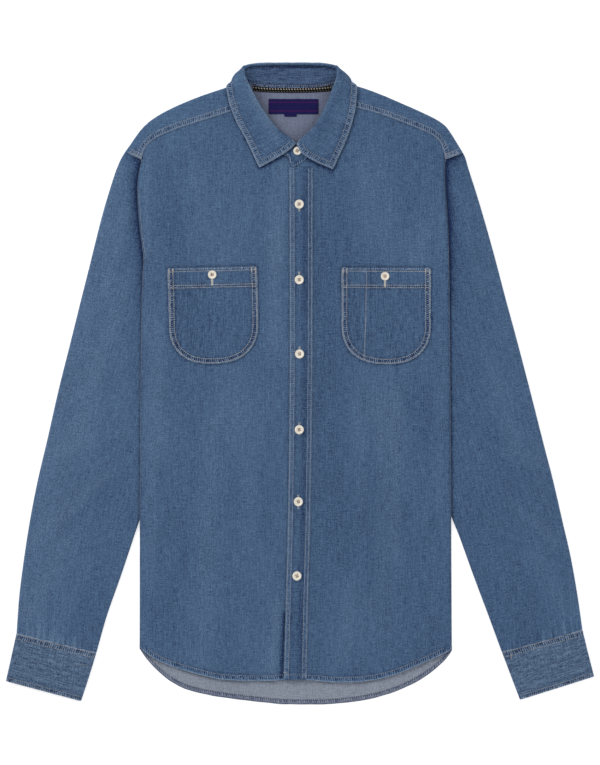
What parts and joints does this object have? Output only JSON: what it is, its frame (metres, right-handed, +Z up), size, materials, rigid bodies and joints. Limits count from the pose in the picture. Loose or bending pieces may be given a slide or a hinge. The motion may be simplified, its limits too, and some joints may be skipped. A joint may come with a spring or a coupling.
{
  "type": "denim shirt",
  "caption": "Long-sleeved button-up denim shirt laid flat on its back, with a pointed collar, two buttoned chest pockets, a shoulder yoke, cuffs and a curved hem.",
  "frame": {"origin": "middle of the bounding box, on the surface that the shirt lies on", "axes": "+Z up off the surface, out of the shirt's front; +Y from hem to collar; +X towards the wearer's left side"},
  "size_m": [0.7646, 0.8338, 0.02],
  "materials": {
    "denim": "mid-blue washed denim, matt",
    "label": "plain woven, navy",
    "tape": "dark herringbone tape",
    "button": "cream, slightly glossy"
  },
  "bodies": {
    "root": {"back": "denim", "yoke": "denim", "front_right": "denim", "front_left": "denim", "placket": "denim", "pocket_right": "denim", "pocket_left": "denim", "sleeve_right": "denim", "sleeve_left": "denim", "cuff_right": "denim", "cuff_left": "denim", "collar_stand": "denim", "collar_leaf": "denim", "label": "label", "size_tab": "label", "neck_tape": "tape", "button_collar": "button", "button_1": "button", "button_2": "button", "button_3": "button", "button_4": "button", "button_5": "button", "button_6": "button", "pocket_button_right": "button", "pocket_button_left": "button"}
  },
  "joints": []
}
